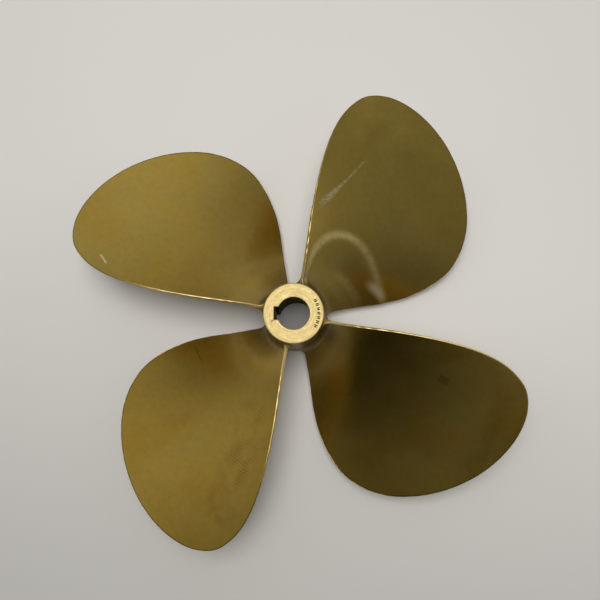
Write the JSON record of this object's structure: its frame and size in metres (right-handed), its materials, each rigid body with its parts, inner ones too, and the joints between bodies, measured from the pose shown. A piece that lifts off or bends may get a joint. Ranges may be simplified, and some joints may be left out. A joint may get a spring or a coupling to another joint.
{
  "type": "boat propeller",
  "caption": "Right-hand marine propeller: broad helical blades around a short hub with a tapered, keyed bore, which turns a shaft's rotation into thrust.",
  "frame": {"origin": "centre of the hub's forward face, the large end of the tapered bore", "axes": "+Z along the shaft axis, astern, towards the nut; -X through the middle of the keyway; +Y completes the right-handed frame"},
  "size_m": [0.2922, 0.2922, 0.06],
  "materials": {
    "machined_bronze": "machined, bright, with fine turning marks",
    "ground_bronze": "ground and brushed, with a thin olive-brown patina"
  },
  "bodies": {
    "root": {"hub": "machined_bronze", "blade_1": "ground_bronze", "blade_2": "ground_bronze", "blade_3": "ground_bronze", "blade_4": "ground_bronze"}
  },
  "joints": []
}
